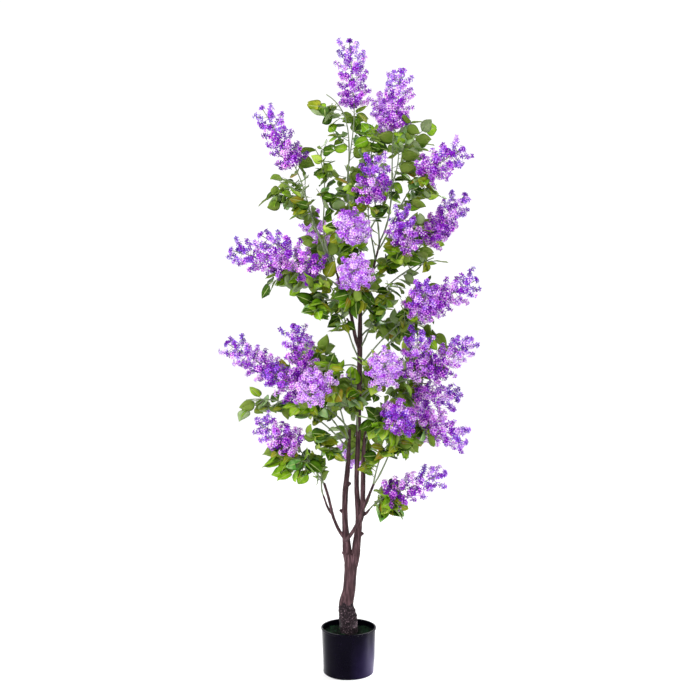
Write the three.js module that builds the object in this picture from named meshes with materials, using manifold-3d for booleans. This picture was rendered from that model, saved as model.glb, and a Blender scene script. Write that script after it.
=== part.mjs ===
// A potted artificial lilac tree, 1.8 m tall: a wooden trunk that forks into
// three stems with thin boughs, wire-stemmed sprays of leaves and lilac blossom
// that spring from them, and a small black plastic pot filled with cement
// under moss.
//
// Millimetres, +Z up. The origin is the centre of the pot's flat underside. The
// front of the tree faces -Y, so +X is to the right and +Y is away.
// Bearings are in degrees round +Z: 0 is right, 90 is the back, 270 the front.

import * as THREE from "three";
import { mergeVertices } from "three/addons/utils/BufferGeometryUtils.js";
import Module from "manifold-3d";

const wasm = await Module();
wasm.setup();

const V = (x, y, z) => new THREE.Vector3(x, y, z);
const UP = V(0, 0, 1);
const RAD = Math.PI / 180;
const mix = (a, b, share) => a + (b - a) * share;

// ---------------------------------------------------------------- sizes

const GAP = 0.3; // clearance between pieces that meet
const WALL_GAP = 0.33; // the same to the pot's sloping wall
const SLIVER = 0.35; // detail that is dropped after a boolean

const POT = {
  height: 131, rimRadius: 79, rimTall: 5, topRadius: 77, footRadius: 73,
  footRound: 4, wall: 2.4, floor: 3, facets: 32,
  bandSlope: 1.5, lip: 1, // how tall the band's lower slope is, and the bevel of its top edge
};
const SOIL = POT.height - 19; // top of the filling: the trunk's flat cut is here

// Each limb: its parent, its way points from root to tip, its radius at each, its facets, and
// its stubs of cut side branches as [height, bearing].
// A limb with a parent starts on the parent's centre line and is cut off a
// clearance outside it; one that butts on a prong starts at the prong's end.
const FORK = 362; // height where the trunk's two prongs end
const LIMBS = {
  stem_left: {
    way: [V(-5, 6, FORK), V(-10, 9, 430), V(-10, 13, 510), V(-2, 16, 595), V(3, 20, 700)],
    radii: [12.5, 8.4, 8.4, 7, 4], sides: 8, steps: 12,
    stubs: [[458, 180], [536, 350]],
  },
  stem_middle: {
    way: [V(22, -3, FORK), V(29, -1, 440), V(23, 3, 540), V(28, 6, 700), V(32, 6, 930),
      V(33, 5, 1080), V(34, 0, 1262)],
    radii: [12, 9.6, 6.7, 7, 7.4, 5, 3], sides: 7, steps: 20,
    stubs: [[392, 0]],
  },
  stem_right: {
    parent: "stem_middle",
    way: [V(29, -1, 428), V(38, -10, 462), V(41, -14, 540), V(42, -18, 630), V(48, -22, 705)],
    radii: [7.8, 7.5, 7, 5.6, 3.5], sides: 7, steps: 9,
  },
  bough_low_left: {
    parent: "stem_left",
    way: [V(-8, 7.6, 384), V(-22, 2, 402), V(-43, -6, 449), V(-57, -10, 508), V(-70, -12, 550)],
    radii: [6, 5.1, 4.6, 4, 3.6], sides: 6, steps: 9,
  },
  bough_low_left_fork: {
    parent: "bough_low_left",
    way: [V(-45, -6.6, 456), V(-58, -2, 474), V(-73, 6, 513)],
    radii: [3.6, 3.3, 2.5], sides: 6, steps: 4,
  },
  bough_low_right: {
    parent: "stem_left",
    way: [V(-8, 7.6, 378), V(2, -24, 398), V(20, -34, 430), V(42, -42, 484), V(71, -48, 554)],
    radii: [6, 5.2, 5, 4.5, 3.5], sides: 6, steps: 10,
  },
  bough_bottom_right: {
    parent: "stem_right",
    way: [V(36.5, -8.5, 455), V(48, -14, 462), V(60, -20, 476)],
    radii: [4.6, 4.2, 3.2], sides: 6, steps: 3,
  },
  bough_upper_left: {
    parent: "stem_middle",
    way: [V(32, 6, 928), V(19, -6, 965), V(9, -12, 1019), V(-7, -15, 1070), V(-50, -15, 1191)],
    radii: [6, 5.3, 4.8, 4, 2.5], sides: 6, steps: 9,
  },
  bough_upper_left_fork: {
    parent: "bough_upper_left",
    way: [V(15, -8.7, 985), V(5, -2, 1000), V(-5, 6, 1018)],
    radii: [3.6, 3.3, 2.6], sides: 6, steps: 3,
  },
  bough_top_right: {
    parent: "stem_middle",
    way: [V(33.5, 5, 1048), V(46, 8, 1082), V(69, 10, 1156), V(90, 10, 1239)],
    radii: [5, 4.2, 3.7, 2.7], sides: 6, steps: 8,
  },
};
// The trunk's way is from the flat cut on the filling to its crotch, where two
// prongs go on to the butts of the stems.
const TRUNK = {
  way: [V(2, 0, SOIL + GAP), V(-2, 0, 160), V(-7, 0, 197), V(1, 0, 236), V(5, 0, 285), V(8, 0, 344)],
  radii: [25, 26, 21, 18.2, 17.8, 20], sides: 9, steps: 10,
  prongs: ["stem_left", "stem_middle"], prongDepth: 34, prongKnee: 16, prongRadius: 15,
  prongLean: 0.25, prongSides: 8, prongSteps: 4,
  stubs: [[330, 180]],
};
const STUB = { length: 8, radius: 4.4, sides: 6, climb: 0.7, hidden: 1.2 };

// ---------------------------------------------------------------- sprays

// How a spray of leaves with its panicle of blossom is built.
// Where a length goes from long to short, the later tries are the shorter ones.
const STEM = {
  rootRadius: 2.4, tipRadius: 1.2, sides: 3, steps: 6, detail: 0.4,
  bow: 0.36, outwards: 0.6, upwards: 0.8, // how far and which way it sets off
};
const TWIG = {
  each: 1, first: 0.45, last: 0.92, // how many, on this stretch of the stem
  long: 92, short: 40, ofStem: 0.45, radius: 1.5, taper: 0.3, sideways: 0.8, forwards: 0.55,
  tries: 16, tryTurn: 0.9, testFrom: 0.3, // beyond this share of it a twig keeps to its space
};
const LEAF = {
  onStem: 3, firstOnStem: 0.4, perTwig: 3, firstOnTwig: 0.42, lastOnTwig: 0.78, endOnTwig: 0.95,
  perTwigTurn: 2.9,
  long: 80, short: 58, sideways: 0.9, forwards: 0.5, hang: 0.25,
  wide: 0.64, widest: 0.42, thick: 0.03, fold: 0.07, droop: 0.12, // shares of its length
  faceOut: 0.7, faceUp: 0.6, faceAnyWay: 1.4,
};
const BLOOM = {
  radius: 56, taper: 0.28, tufts: 5, first: 0.04, last: 0.86, // on this stretch of its axis
  lowRise: 0.35, highRise: 0.8, spread: 0.62, rim: 0.8, end: 0.75, turnAnyWay: 0.5,
};
const GOLDEN = 137.5 * RAD; // turn from one twig or tuft to the next
const VARY = 0.1; // share by which leaves and tufts differ in size
const BLOOM_ROOM = 26; // a bloom owns this much more space round it than a stem
const BORDER = 3; // left empty between two sprays
const LIMB_AIR = 3; // and round every limb
const LINE_STEPS = 12; // straight stretches that stand for a curve in these tests
const HALVINGS = 40; // of a limb, to find where it reaches a height
const SEED = { spray: 1009, twig: 53, tuft: 31, attempt: 7, first: 41, stemLeaves: 300, bloom: 500 };

// name, limb it leaves, at height; bloom foot's bearing, reach and height;
// bloom's turn, pitch and length (no length: a leafy spray without blossom).
const SPRAYS = [
  ["spray_top", "stem_middle", 1258, 0, 15, 1620, 156, 86, 178],
  ["spray_top_right", "bough_top_right", 1237, 347, 132, 1555, 324, 79, 152],
  ["spray_high_left", "bough_upper_left", 1188, 190, 157, 1451, 191, 62, 180],
  ["spray_high_right", "bough_top_right", 1208, 345, 220, 1420, 315, 25, 140],
  ["spray_high_front", "bough_top_right", 1180, 296, 132, 1348, 286, 48, 125],
  ["spray_high_back", "stem_middle", 1225, 28, 145, 1567, 134, 58, 120],
  ["spray_upper_front", "stem_middle", 1140, 275, 132, 1259, 269, 6, 140],
  ["spray_upper_right", "bough_top_right", 1120, 0, 220, 1238, 10, 48, 175],
  ["spray_upper_right_front", "bough_top_right", 1090, 329, 183, 1228, 261, 31, 125],
  ["spray_upper_right_back", "bough_top_right", 1150, 24, 265, 1267, 55, 30, 130],
  ["spray_upper_back_left", "bough_upper_left", 1160, 116, 131, 1215, 128, 47, 160],
  ["spray_upper_left", "bough_upper_left", 1090, 194, 185, 1170, 190, 14, 158],
  ["spray_upper_left_front", "stem_middle", 900, 228, 134, 1149, 198, 35, 188],
  ["spray_middle_front", "stem_middle", 1085, 279, 140, 1132, 266, 9, 140],
  ["spray_middle_back", "stem_middle", 1045, 86, 140, 1113, 94, 28, 145],
  ["spray_middle_right", "stem_middle", 880, 355, 235, 1060, 350, 25, 145],
  ["spray_middle_right_front", "stem_middle", 850, 337, 214, 1051, 272, 20, 134],
  ["spray_middle_right_back", "stem_middle", 960, 35, 225, 1024, 52, 25, 155],
  ["spray_lower_right_front", "stem_middle", 820, 344, 179, 864, 296, 62, 145],
  ["spray_lower_right_out", "stem_middle", 790, 355, 230, 867, 346, 35, 155],
  ["spray_lower_front_right", "stem_middle", 760, 307, 157, 864, 273, 25, 135],
  ["spray_lower_right", "stem_right", 702, 5, 190, 805, 15, -10, 140],
  ["spray_lower_front_low", "stem_right", 680, 317, 183, 757, 275, -4, 118],
  ["spray_bottom_right", "bough_bottom_right", 474, 343, 117, 517, 352, 22, 180],
  ["spray_low_right", "bough_low_right", 551, 349, 216, 728, 341, -20, 134],
  ["spray_lower_left_out", "stem_left", 697, 185, 220, 870, 190, 35, 150],
  ["spray_lower_left", "stem_middle", 740, 205, 130, 860, 220, 70, 150],
  ["spray_lower_left_back", "stem_middle", 870, 135, 160, 855, 105, 40, 145],
  ["spray_lower_front_left", "stem_left", 670, 241, 150, 851, 249, -20, 124],
  ["spray_low_left", "bough_low_left", 547, 199, 162, 662, 195, 36, 125],
  ["spray_low_back", "stem_middle", 665, 80, 125, 655, 95, -40, 140],
  ["spray_lower_back", "stem_middle", 780, 88, 150, 785, 97, 17, 140],
  ["spray_lower_left_front", "stem_left", 660, 207, 142, 812, 209, 32, 128],
  ["spray_low_back_right", "stem_right", 655, 40, 200, 715, 55, 5, 140],
  ["leaves_low_left", "bough_low_left_fork", 511, 189, 91, 596, 194, -43, 0],
  ["leaves_left", "stem_left", 640, 186, 290, 789, 180, -8, 0],
  ["leaves_top_left", "stem_middle", 1245, 200, 66, 1640, 197, 27, 0],
  ["leaves_top_right", "bough_top_right", 1225, 312, 132, 1533, 303, 23, 0],
  ["leaves_high_left", "bough_upper_left", 1175, 206, 103, 1487, 219, 49, 0],
  ["leaves_high_far_left", "bough_upper_left", 1150, 196, 198, 1396, 200, 14, 0],
  ["leaves_high_back", "stem_middle", 1205, 96, 105, 1460, 115, 45, 0],
  ["leaves_upper_left", "bough_upper_left", 1040, 221, 159, 1049, 205, -24, 0],
  ["leaves_upper_right", "stem_middle", 1020, 350, 241, 1187, 343, 18, 0],
  ["leaves_middle_right", "stem_middle", 930, 331, 144, 1098, 316, 21, 0],
  ["leaves_low_front", "stem_left", 600, 208, 147, 692, 217, 23, 0],
  ["leaves_low_middle", "stem_middle", 690, 272, 115, 841, 247, 5, 0],
  ["leaves_lower_right", "bough_low_right", 470, 337, 156, 666, 340, -23, 0],
];

// ---------------------------------------------------------------- solids

function solidOf(geometry) {
  const bare = geometry.clone();
  bare.deleteAttribute("normal");
  bare.deleteAttribute("uv");
  const whole = mergeVertices(bare, 1e-4);
  return new wasm.Manifold(new wasm.Mesh({
    numProp: 3,
    vertProperties: new Float32Array(whole.attributes.position.array),
    triVerts: new Uint32Array(whole.index.array),
  }));
}

// A round bar bent along a curve, its radius given at each share of the length.
function bar(curve, radiusAt, sides, steps) {
  const geometry = new THREE.CylinderGeometry(1, 1, 1, sides, steps);
  const { normals, binormals } = curve.computeFrenetFrames(steps, false);
  const place = geometry.attributes.position;
  for (let i = 0; i < place.count; i++) {
    const share = place.getY(i) + 0.5;
    const row = Math.round(share * steps);
    const radius = radiusAt(share);
    const point = curve.getPointAt(share)
      .addScaledVector(binormals[row], place.getX(i) * radius)
      .addScaledVector(normals[row], place.getZ(i) * radius);
    place.setXYZ(i, point.x, point.y, point.z);
  }
  return solidOf(geometry);
}

// Eight faces between six corners: root and tip, two sides, top and underside.
function blade(root, tip, left, right, top, under) {
  const geometry = new THREE.OctahedronGeometry(1);
  const place = geometry.attributes.position;
  for (let i = 0; i < place.count; i++) {
    const [x, y, z] = [place.getX(i), place.getY(i), place.getZ(i)].map(Math.round);
    const corner = x ? (x > 0 ? right : left) : y ? (y > 0 ? tip : root) : z > 0 ? top : under;
    place.setXYZ(i, corner.x, corner.y, corner.z);
  }
  return solidOf(geometry);
}

// One closed body: the largest piece, with sealed hollows and scraps left out.
function onePiece(solid) {
  const pieces = solid.simplify(SLIVER).decompose();
  return pieces.reduce((a, b) => (a.volume() > b.volume() ? a : b));
}

function meshOf(name, solid, material) {
  const { vertProperties, triVerts, numProp } = solid.getMesh();
  const geometry = new THREE.BufferGeometry();
  const points = [];
  for (let i = 0; i < vertProperties.length; i += numProp) points.push(...vertProperties.slice(i, i + 3));
  geometry.setAttribute("position", new THREE.Float32BufferAttribute(points, 3));
  geometry.setIndex(Array.from(triVerts));
  const flat = geometry.toNonIndexed();
  flat.computeVertexNormals();
  const mesh = new THREE.Mesh(flat, material);
  mesh.name = name;
  return mesh;
}

// ---------------------------------------------------------------- limbs

const curves = {};
for (const [name, limb] of Object.entries(LIMBS)) curves[name] = new THREE.CatmullRomCurve3(limb.way);

// The radius at a share of the way, straight between the sizes at its points.
function radiusOf(limb, share) {
  const lengths = limb.way.map((point, i) => (i ? point.distanceTo(limb.way[i - 1]) : 0));
  const whole = lengths.reduce((a, b) => a + b);
  let run = share * whole;
  for (let i = 1; i < lengths.length; i++) {
    if (run <= lengths[i] || i === lengths.length - 1) {
      return mix(limb.radii[i - 1], limb.radii[i], Math.min(1, run / lengths[i]));
    }
    run -= lengths[i];
  }
}

// The share of a limb's curve where it reaches a height; every limb climbs.
function shareAt(curve, height) {
  let [low, high] = [0, 1];
  for (let i = 0; i < HALVINGS; i++) {
    const middle = (low + high) / 2;
    if (curve.getPointAt(middle).z < height) low = middle; else high = middle;
  }
  return (low + high) / 2;
}

// A limb's bar; grown, it is the room that nothing else may enter.
function limbBar(limb, curve, grown = 0) {
  let way = curve;
  if (grown) {
    const last = limb.way.length - 1;
    const ends = limb.way.map((point) => point.clone());
    ends[last].addScaledVector(curve.getTangentAt(1), grown);
    way = new THREE.CatmullRomCurve3(ends);
  }
  return bar(way, (share) => radiusOf(limb, share) + grown, limb.sides, limb.steps);
}

function stubsOf(limb, curve) {
  return (limb.stubs ?? []).map(([height, bearing]) => {
    const share = shareAt(curve, height);
    const from = curve.getPointAt(share);
    const out = V(Math.cos(bearing * RAD), Math.sin(bearing * RAD), STUB.climb).normalize();
    const to = from.clone().addScaledVector(out, radiusOf(limb, share) * STUB.hidden + STUB.length);
    return bar(new THREE.LineCurve3(from, to), () => STUB.radius, STUB.sides, 1);
  });
}

function trunk() {
  const curve = new THREE.CatmullRomCurve3(TRUNK.way);
  let solid = limbBar(TRUNK, curve);
  const top = TRUNK.way.at(-1);
  for (const name of TRUNK.prongs) {
    const end = LIMBS[name].way[0].clone();
    end.addScaledVector(curves[name].getTangentAt(0), -GAP);
    const start = top.clone().lerp(end, TRUNK.prongLean).setZ(top.z - TRUNK.prongDepth);
    const knee = end.clone().addScaledVector(curves[name].getTangentAt(0), -TRUNK.prongKnee);
    const prong = new THREE.CatmullRomCurve3([start, knee, end]);
    const radiusAt = (share) => mix(TRUNK.prongRadius, LIMBS[name].radii[0], share);
    solid = solid.add(bar(prong, radiusAt, TRUNK.prongSides, TRUNK.prongSteps));
  }
  for (const stub of stubsOf(TRUNK, curve)) solid = solid.add(stub);
  return onePiece(solid.trimByPlane([0, 0, 1], SOIL + GAP));
}

function limbSolid(name) {
  const limb = LIMBS[name];
  let solid = limbBar(limb, curves[name]);
  for (const stub of stubsOf(limb, curves[name])) solid = solid.add(stub);
  if (limb.parent) solid = solid.subtract(limbBar(LIMBS[limb.parent], curves[limb.parent], GAP));
  return onePiece(solid);
}

// ---------------------------------------------------------------- pot

function pot() {
  const p = POT;
  const footArc = [0, 30, 60, 90].map((turn) => new THREE.Vector2(
    p.footRadius - p.footRound + p.footRound * Math.sin(turn * RAD),
    p.footRound - p.footRound * Math.cos(turn * RAD)));
  const profile = [
    new THREE.Vector2(0, 0), ...footArc,
    new THREE.Vector2(p.topRadius, p.height - p.rimTall - p.bandSlope),
    new THREE.Vector2(p.rimRadius, p.height - p.rimTall),
    new THREE.Vector2(p.rimRadius, p.height - p.lip),
    new THREE.Vector2(p.rimRadius - p.lip, p.height),
    new THREE.Vector2(p.topRadius - p.wall, p.height),
    new THREE.Vector2(p.footRadius - p.wall, p.floor),
    new THREE.Vector2(0, p.floor),
  ];
  return solidOf(upright(new THREE.LatheGeometry(profile, p.facets)));
}

// The pot's inside radius at a height.
const boreAt = (height) => mix(POT.footRadius, POT.topRadius,
  (height - POT.floor) / (POT.height - POT.floor)) - POT.wall;

function filling() {
  const [low, high] = [POT.floor + GAP, SOIL];
  const profile = [
    new THREE.Vector2(0, low), new THREE.Vector2(boreAt(low) - WALL_GAP, low),
    new THREE.Vector2(boreAt(high) - WALL_GAP, high), new THREE.Vector2(0, high),
  ];
  return solidOf(upright(new THREE.LatheGeometry(profile, POT.facets)));
}

// A lathe turns round +Y: stand it up on +Z.
const upright = (geometry) => geometry.rotateX(Math.PI / 2);

// ---------------------------------------------------------------- growth

// A stream of numbers from 0 to 1, the same each time for the same seed.
function stream(seed) {
  let state = seed >>> 0;
  const next = () => {
    state = (Math.imul(state, 1664525) + 1013904223) >>> 0;
    return state / 4294967296;
  };
  next();
  next();
  return next;
}

// A direction square to a line, turned by an angle round it.
function sideways(tangent, angle) {
  const first = V(0, 0, 0).crossVectors(tangent, Math.abs(tangent.z) > 0.95 ? V(1, 0, 0) : UP).normalize();
  const second = V(0, 0, 0).crossVectors(tangent, first);
  return first.multiplyScalar(Math.cos(angle)).addScaledVector(second, Math.sin(angle));
}

const heading = (turn, pitch) => V(
  Math.cos(turn * RAD) * Math.cos(pitch * RAD),
  Math.sin(turn * RAD) * Math.cos(pitch * RAD), Math.sin(pitch * RAD));

// A spray's stem is one curve from inside its limb to the bloom's foot, and goes
// on through the bloom as its straight axis.
const sprays = SPRAYS.map(([name, limb, at, bearing, reach, height, turn, pitch, length], index) => {
  const root = curves[limb].getPointAt(shareAt(curves[limb], at));
  const foot = V(reach * Math.cos(bearing * RAD), reach * Math.sin(bearing * RAD), height);
  const aim = heading(turn, pitch);
  const bow = root.distanceTo(foot) * STEM.bow;
  const out = V(foot.x - root.x, foot.y - root.y, 0).normalize();
  const start = out.multiplyScalar(STEM.outwards).addScaledVector(UP, STEM.upwards);
  const stem = new THREE.CubicBezierCurve3(root, root.clone().addScaledVector(start, bow),
    foot.clone().addScaledVector(aim, -bow), foot);
  const tip = foot.clone().addScaledVector(aim, length);
  const line = stem.getPoints(LINE_STEPS);
  return { name, limb, index, stem, span: root.distanceTo(foot), foot, tip, aim, length, line };
});

function toSegment(point, a, b) {
  const along = b.clone().sub(a);
  const reached = point.clone().sub(a).dot(along) / Math.max(along.lengthSq(), 1e-9);
  const share = THREE.MathUtils.clamp(reached, 0, 1);
  return { away: point.distanceTo(a.clone().addScaledVector(along, share)), share };
}

// How near a point is to a spray. The nearest spray owns the space, and a bloom
// counts as nearer than it is, so that what grows round it leaves it room.
function nearness(spray, point) {
  let best = spray.length ? toSegment(point, spray.foot, spray.tip).away - BLOOM_ROOM : Infinity;
  for (let i = 1; i < spray.line.length; i++) {
    best = Math.min(best, toSegment(point, spray.line[i - 1], spray.line[i]).away);
  }
  return best;
}

const limbLines = [TRUNK, ...Object.values(LIMBS)].map((limb) => {
  const curve = new THREE.CatmullRomCurve3(limb.way);
  return { points: curve.getSpacedPoints(LINE_STEPS), limb };
});

function clearOfLimbs(point) {
  return limbLines.every(({ points, limb }) => points.every((from, i) => {
    if (!i) return true;
    const { away, share } = toSegment(point, points[i - 1], from);
    return away > radiusOf(limb, (i - 1 + share) / LINE_STEPS) + LIMB_AIR;
  }));
}

// Whether a convex piece lies in its spray's own space, above the pot and clear
// of the limbs, tested at its corners and half way between each two of them.
function fits(spray, corners) {
  const tests = [...corners];
  for (let i = 0; i < corners.length; i++) {
    for (let j = 0; j < i; j++) tests.push(corners[i].clone().lerp(corners[j], 0.5));
  }
  return tests.every((point) => {
    if (point.z < POT.height || !clearOfLimbs(point)) return false;
    const own = nearness(spray, point);
    return sprays.every((other) => other === spray || nearness(other, point) > own + BORDER);
  });
}

// A leaf's corners: it leaves its twig sideways, or runs on from its end, hangs
// a little, and turns its face outwards and up.
function leafCorners(root, twig, angle, last, length, rand) {
  const along = last ? twig.clone()
    : sideways(twig, angle).multiplyScalar(LEAF.sideways).addScaledVector(twig, LEAF.forwards);
  along.addScaledVector(UP, -LEAF.hang).normalize();
  const face = V(root.x, root.y, 0).normalize().multiplyScalar(LEAF.faceOut);
  face.addScaledVector(UP, LEAF.faceUp);
  face.add(V(rand() - 0.5, rand() - 0.5, rand() - 0.5).multiplyScalar(LEAF.faceAnyWay));
  const side = V(0, 0, 0).crossVectors(along, face).normalize();
  const up = V(0, 0, 0).crossVectors(side, along);
  const at = (share, across, high) => root.clone().addScaledVector(along, share * length)
    .addScaledVector(side, across * length).addScaledVector(up, high * length);
  return [
    root.clone(), at(1, 0, -LEAF.droop),
    at(LEAF.widest, -LEAF.wide / 2, LEAF.fold), at(LEAF.widest, LEAF.wide / 2, LEAF.fold),
    at(LEAF.widest, 0, LEAF.thick / 2), at(LEAF.widest, 0, -LEAF.thick / 2),
  ];
}

// A tuft of florets: narrow where it leaves the panicle's axis, widening to four
// outer corners, with a domed face.
function tuftCorners(foot, face, length, spin) {
  const rim = foot.clone().addScaledVector(face, length * BLOOM.rim);
  const wide = length * BLOOM.spread;
  const first = sideways(face, spin).multiplyScalar(wide);
  const second = sideways(face, spin + Math.PI / 2).multiplyScalar(wide);
  return [
    rim.clone().sub(second), rim.clone().add(second),
    rim.clone().sub(first), rim.clone().add(first),
    foot.clone().addScaledVector(face, length), foot.clone(),
  ];
}

const seedOf = (spray, own) => SEED.first + spray.index * SEED.spray + own;

// One leafy twig: where it leaves the stem, which way, and the leaves on it.
function twigAt(spray, k, attempt) {
  const rand = stream(seedOf(spray, k * SEED.twig + attempt * SEED.attempt));
  const share = mix(TWIG.first, TWIG.last, (k + rand()) / TWIG.each);
  const tangent = spray.stem.getTangent(share);
  const out = sideways(tangent, spray.index + k * GOLDEN + attempt * TWIG.tryTurn + rand());
  const along = out.multiplyScalar(TWIG.sideways).addScaledVector(tangent, TWIG.forwards).normalize();
  const from = spray.stem.getPoint(share);
  const length = Math.min(mix(TWIG.long, TWIG.short, attempt / TWIG.tries), spray.span * TWIG.ofStem);
  const to = from.clone().addScaledVector(along, length);
  if (!fits(spray, [from.clone().lerp(to, TWIG.testFrom), to])) return { from, to, leaves: [] };
  const size = mix(LEAF.long, LEAF.short, attempt / TWIG.tries);
  const leaves = [];
  for (let j = 0; j < LEAF.perTwig; j++) {
    const last = j === LEAF.perTwig - 1;
    const place = mix(LEAF.firstOnTwig, LEAF.lastOnTwig, j / (LEAF.perTwig - 2));
    const root = from.clone().lerp(to, last ? LEAF.endOnTwig : place);
    const turn = rand() + j * LEAF.perTwigTurn;
    const corners = leafCorners(root, along, turn, last, size * mix(1 - VARY, 1 + VARY, rand()), rand);
    if (fits(spray, corners)) leaves.push(corners);
  }
  return { from, to, leaves };
}

// One leaf straight on the stem, on the first side tried where it has room.
function stemLeaf(spray, k) {
  const share = mix(LEAF.firstOnStem, 1, k / LEAF.onStem);
  const tangent = spray.stem.getTangent(share);
  for (let attempt = 0; attempt < TWIG.tries; attempt++) {
    const rand = stream(seedOf(spray, SEED.stemLeaves + k * SEED.twig + attempt * SEED.attempt));
    const size = mix(LEAF.long, LEAF.short, attempt / TWIG.tries);
    const angle = spray.index + k * GOLDEN + attempt * TWIG.tryTurn;
    const corners = leafCorners(spray.stem.getPoint(share), tangent, angle, false, size, rand);
    if (fits(spray, corners)) return [corners];
  }
  return [];
}

// What grows on a spray: leafy twigs, at each place the one of those tried that
// carries most leaves; leaves on the stem itself; and at its end the tufts of
// the panicle. Whatever would leave the spray's own space or touch a limb is
// skipped.
function grow(spray) {
  const grown = { twigs: [], blades: [] };
  for (let k = 0; k < LEAF.onStem; k++) grown.blades.push(...stemLeaf(spray, k));
  for (let k = 0; k < TWIG.each; k++) {
    let best = { leaves: [] };
    for (let attempt = 0; attempt < TWIG.tries; attempt++) {
      const twig = twigAt(spray, k, attempt);
      if (twig.leaves.length > best.leaves.length) best = twig;
    }
    if (!best.leaves.length) continue;
    grown.twigs.push(best);
    grown.blades.push(...best.leaves);
  }
  if (spray.length) growBloom(grown, spray);
  return grown;
}

const bloomRadius = (share) => BLOOM.radius * (1 - BLOOM.taper * share * share);

function growBloom(grown, spray) {
  for (let k = 0; k < BLOOM.tufts; k++) {
    const rand = stream(seedOf(spray, SEED.bloom + k * SEED.tuft));
    const share = mix(BLOOM.first, BLOOM.last, k / (BLOOM.tufts - 1));
    const foot = spray.foot.clone().lerp(spray.tip, share);
    const rise = mix(BLOOM.lowRise, BLOOM.highRise, share);
    const angle = spray.index + k * GOLDEN + rand() * BLOOM.turnAnyWay;
    const face = sideways(spray.aim, angle).addScaledVector(spray.aim, rise).normalize();
    const length = bloomRadius(share) * mix(1 - VARY, 1 + VARY, rand());
    const corners = tuftCorners(foot, face, length, rand() * Math.PI / 2);
    if (fits(spray, corners)) grown.blades.push(corners);
  }
  const foot = spray.tip.clone().addScaledVector(spray.aim, -BLOOM.radius * BLOOM.end);
  const end = tuftCorners(foot, spray.aim, BLOOM.radius * BLOOM.end, spray.index);
  if (fits(spray, end)) grown.blades.push(end);
}

function spraySolid(spray) {
  const grown = grow(spray);
  const axis = new THREE.CurvePath();
  axis.add(spray.stem);
  if (spray.length) axis.add(new THREE.LineCurve3(spray.foot, spray.tip));
  const parts = [bar(axis, (share) => mix(STEM.rootRadius, STEM.tipRadius, share), STEM.sides, STEM.steps)];
  for (const { from, to } of grown.twigs) {
    const radiusAt = (share) => TWIG.radius * (1 - TWIG.taper * share);
    parts.push(bar(new THREE.LineCurve3(from, to), radiusAt, STEM.sides, 1));
  }
  for (const [a, b, c, d, e, f] of grown.blades) parts.push(blade(a, b, c, d, e, f));
  const limb = LIMBS[spray.limb];
  const whole = wasm.Manifold.union(parts).simplify(STEM.detail);
  return onePiece(whole.subtract(limbBar(limb, curves[spray.limb], GAP)));
}

// ---------------------------------------------------------------- the tree

const finish = (color, roughness) => new THREE.MeshStandardMaterial({ color, roughness, metalness: 0 });
const materials = {
  pot: finish(0x15161c, 0.3),
  filling: finish(0x35402a, 0.95),
  bark: finish(0x4f352f, 0.85),
  blossom: finish(0x9a62cf, 0.7),
  leaf: finish(0x4d6b2c, 0.6),
};

const foot = new THREE.Group();
foot.add(meshOf("pot", pot(), materials.pot));
foot.add(meshOf("filling", filling(), materials.filling));

const wood = new THREE.Group();
wood.add(meshOf("trunk", trunk(), materials.bark));
for (const name of Object.keys(LIMBS)) wood.add(meshOf(name, limbSolid(name), materials.bark));

const crown = new THREE.Group();
for (const spray of sprays) {
  crown.add(meshOf(spray.name, spraySolid(spray), spray.length ? materials.blossom : materials.leaf));
}

const tree = new THREE.Group();
tree.add(foot, wood, crown);

export default tree;
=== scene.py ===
"""A potted artificial lilac tree: bark, pot, moss, wire stems, leaves and lilac blossom.

The limbs and sprays are worked out in millimetres by the same rule as the CAD model's,
and turned to metres when a mesh is made. The front of the tree faces -Y.
"""

import math

import bpy
import numpy as np
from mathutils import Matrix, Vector, noise


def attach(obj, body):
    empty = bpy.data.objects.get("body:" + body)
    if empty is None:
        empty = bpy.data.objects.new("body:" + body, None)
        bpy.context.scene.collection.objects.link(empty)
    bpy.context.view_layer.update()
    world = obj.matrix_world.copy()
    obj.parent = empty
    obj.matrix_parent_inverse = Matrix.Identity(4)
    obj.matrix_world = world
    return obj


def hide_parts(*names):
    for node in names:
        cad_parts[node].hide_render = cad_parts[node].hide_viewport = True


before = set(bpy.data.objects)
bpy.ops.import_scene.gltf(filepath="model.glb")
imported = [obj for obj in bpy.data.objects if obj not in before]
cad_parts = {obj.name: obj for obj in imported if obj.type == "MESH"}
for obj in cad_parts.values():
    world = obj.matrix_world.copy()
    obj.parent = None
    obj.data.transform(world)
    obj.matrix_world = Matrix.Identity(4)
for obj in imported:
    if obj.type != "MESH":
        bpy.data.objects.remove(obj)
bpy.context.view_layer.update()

MM = 0.001
RAD = math.pi / 180
UP = np.array((0.0, 0.0, 1.0))

# -------- sizes, in millimetres

POT = dict(
    height=131, rimRadius=79, rimTall=5, topRadius=77, footRadius=73, footRound=4, wall=2.4, floor=3,
)
SOIL = POT["height"] - 19
FORK = 362

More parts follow.
